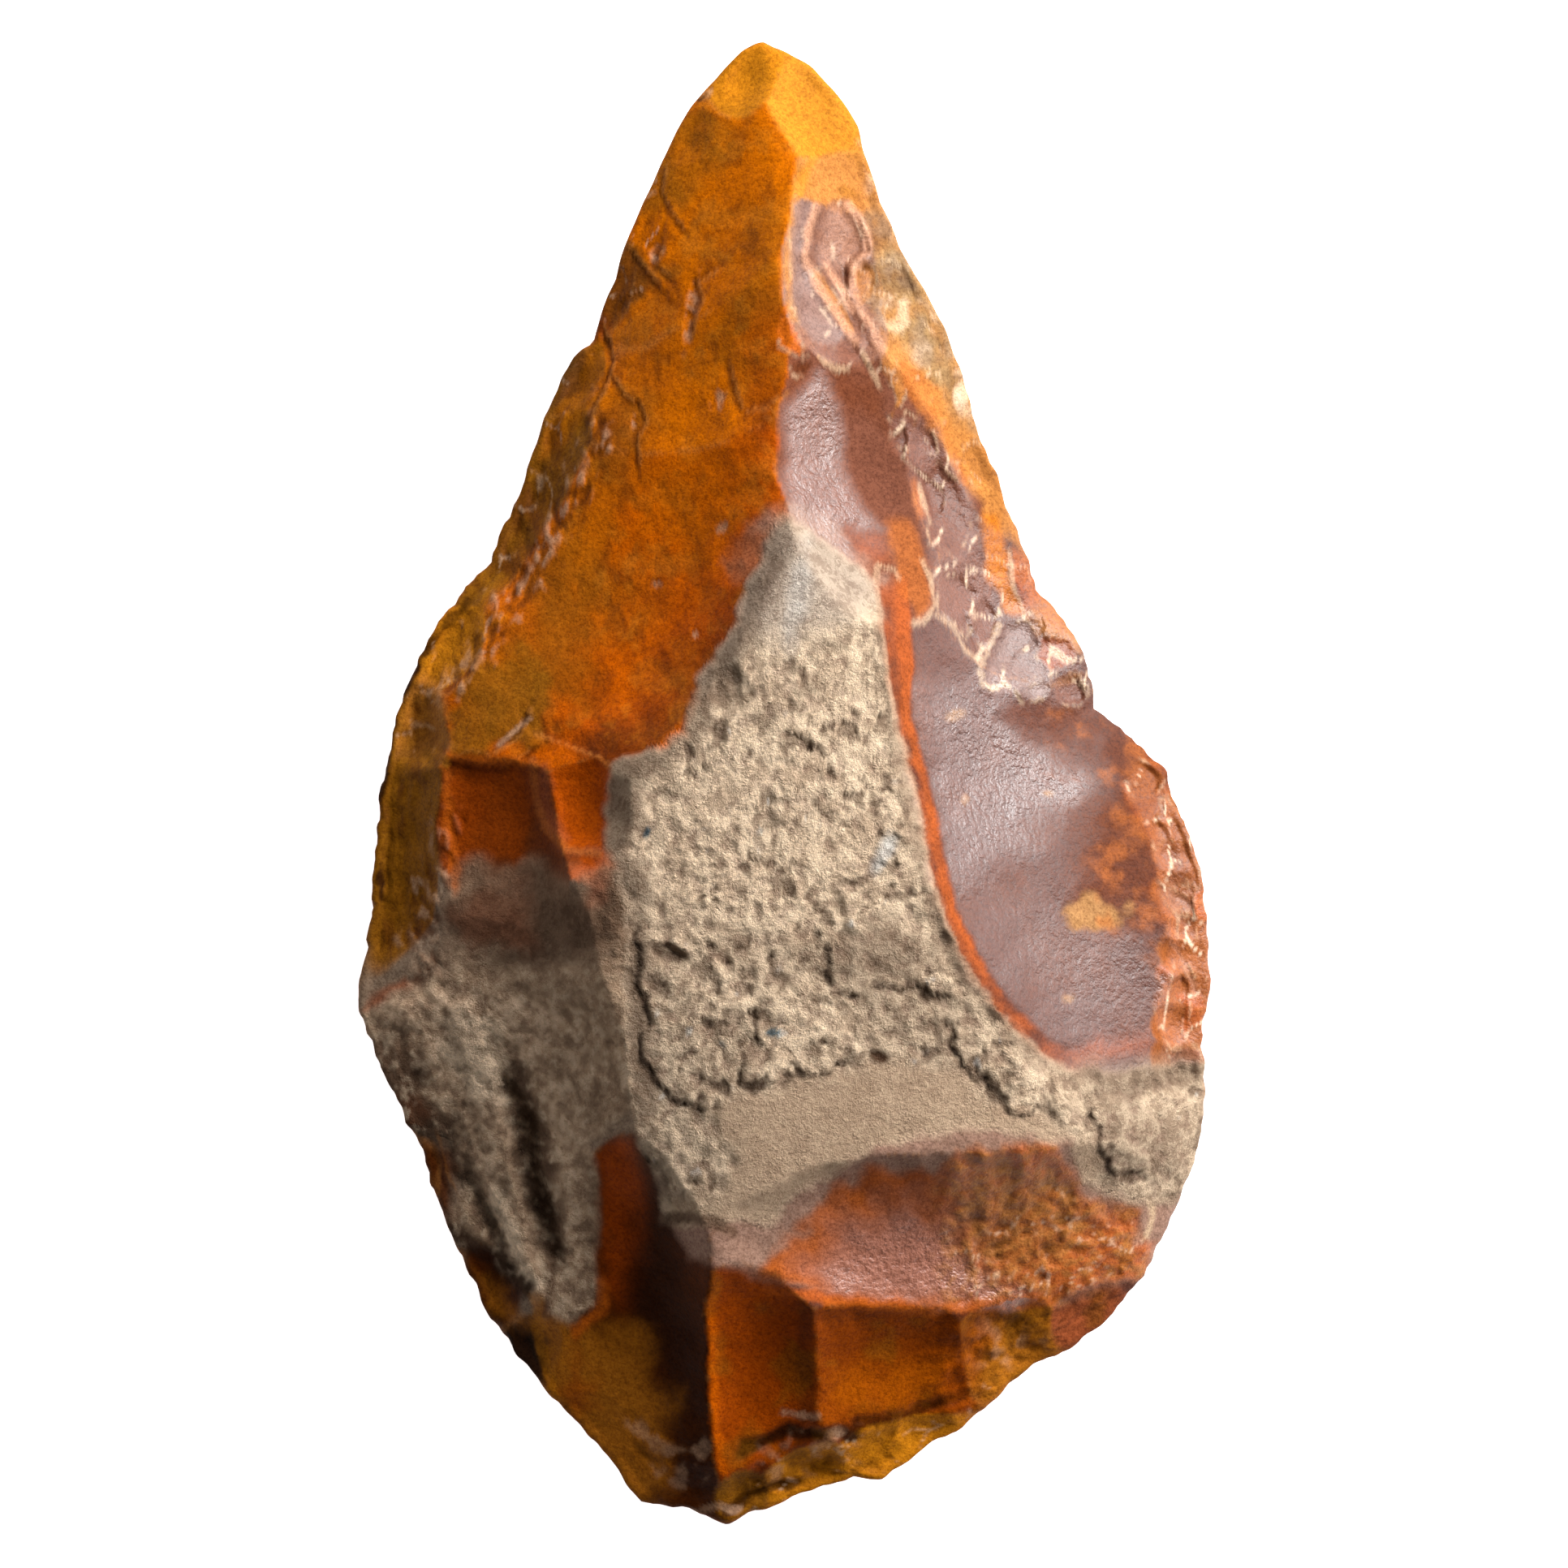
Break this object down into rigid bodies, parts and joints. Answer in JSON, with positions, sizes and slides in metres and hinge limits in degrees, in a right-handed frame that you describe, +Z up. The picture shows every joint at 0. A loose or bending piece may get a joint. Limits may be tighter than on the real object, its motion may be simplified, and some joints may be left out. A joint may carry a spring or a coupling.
{
  "type": "stone hand axe",
  "caption": "Pointed flint hand axe, knapped on both faces, broad at the butt and narrowing to a tip, with a patch of pale crust left on its face, lying on its back.",
  "frame": {"origin": "centre of the outline's box, on the surface that the flat spot of the back rests on", "axes": "+Y towards the tip, +Z up out of the worked face, +X to the right when the face is seen with the tip up"},
  "size_m": [0.0864, 0.15, 0.0381],
  "materials": {
    "flint": "amber to brown patina, glossy on the flake scars, chalky and matte where the crust is left"
  },
  "bodies": {
    "root": {"hand_axe": "flint"}
  },
  "joints": []
}
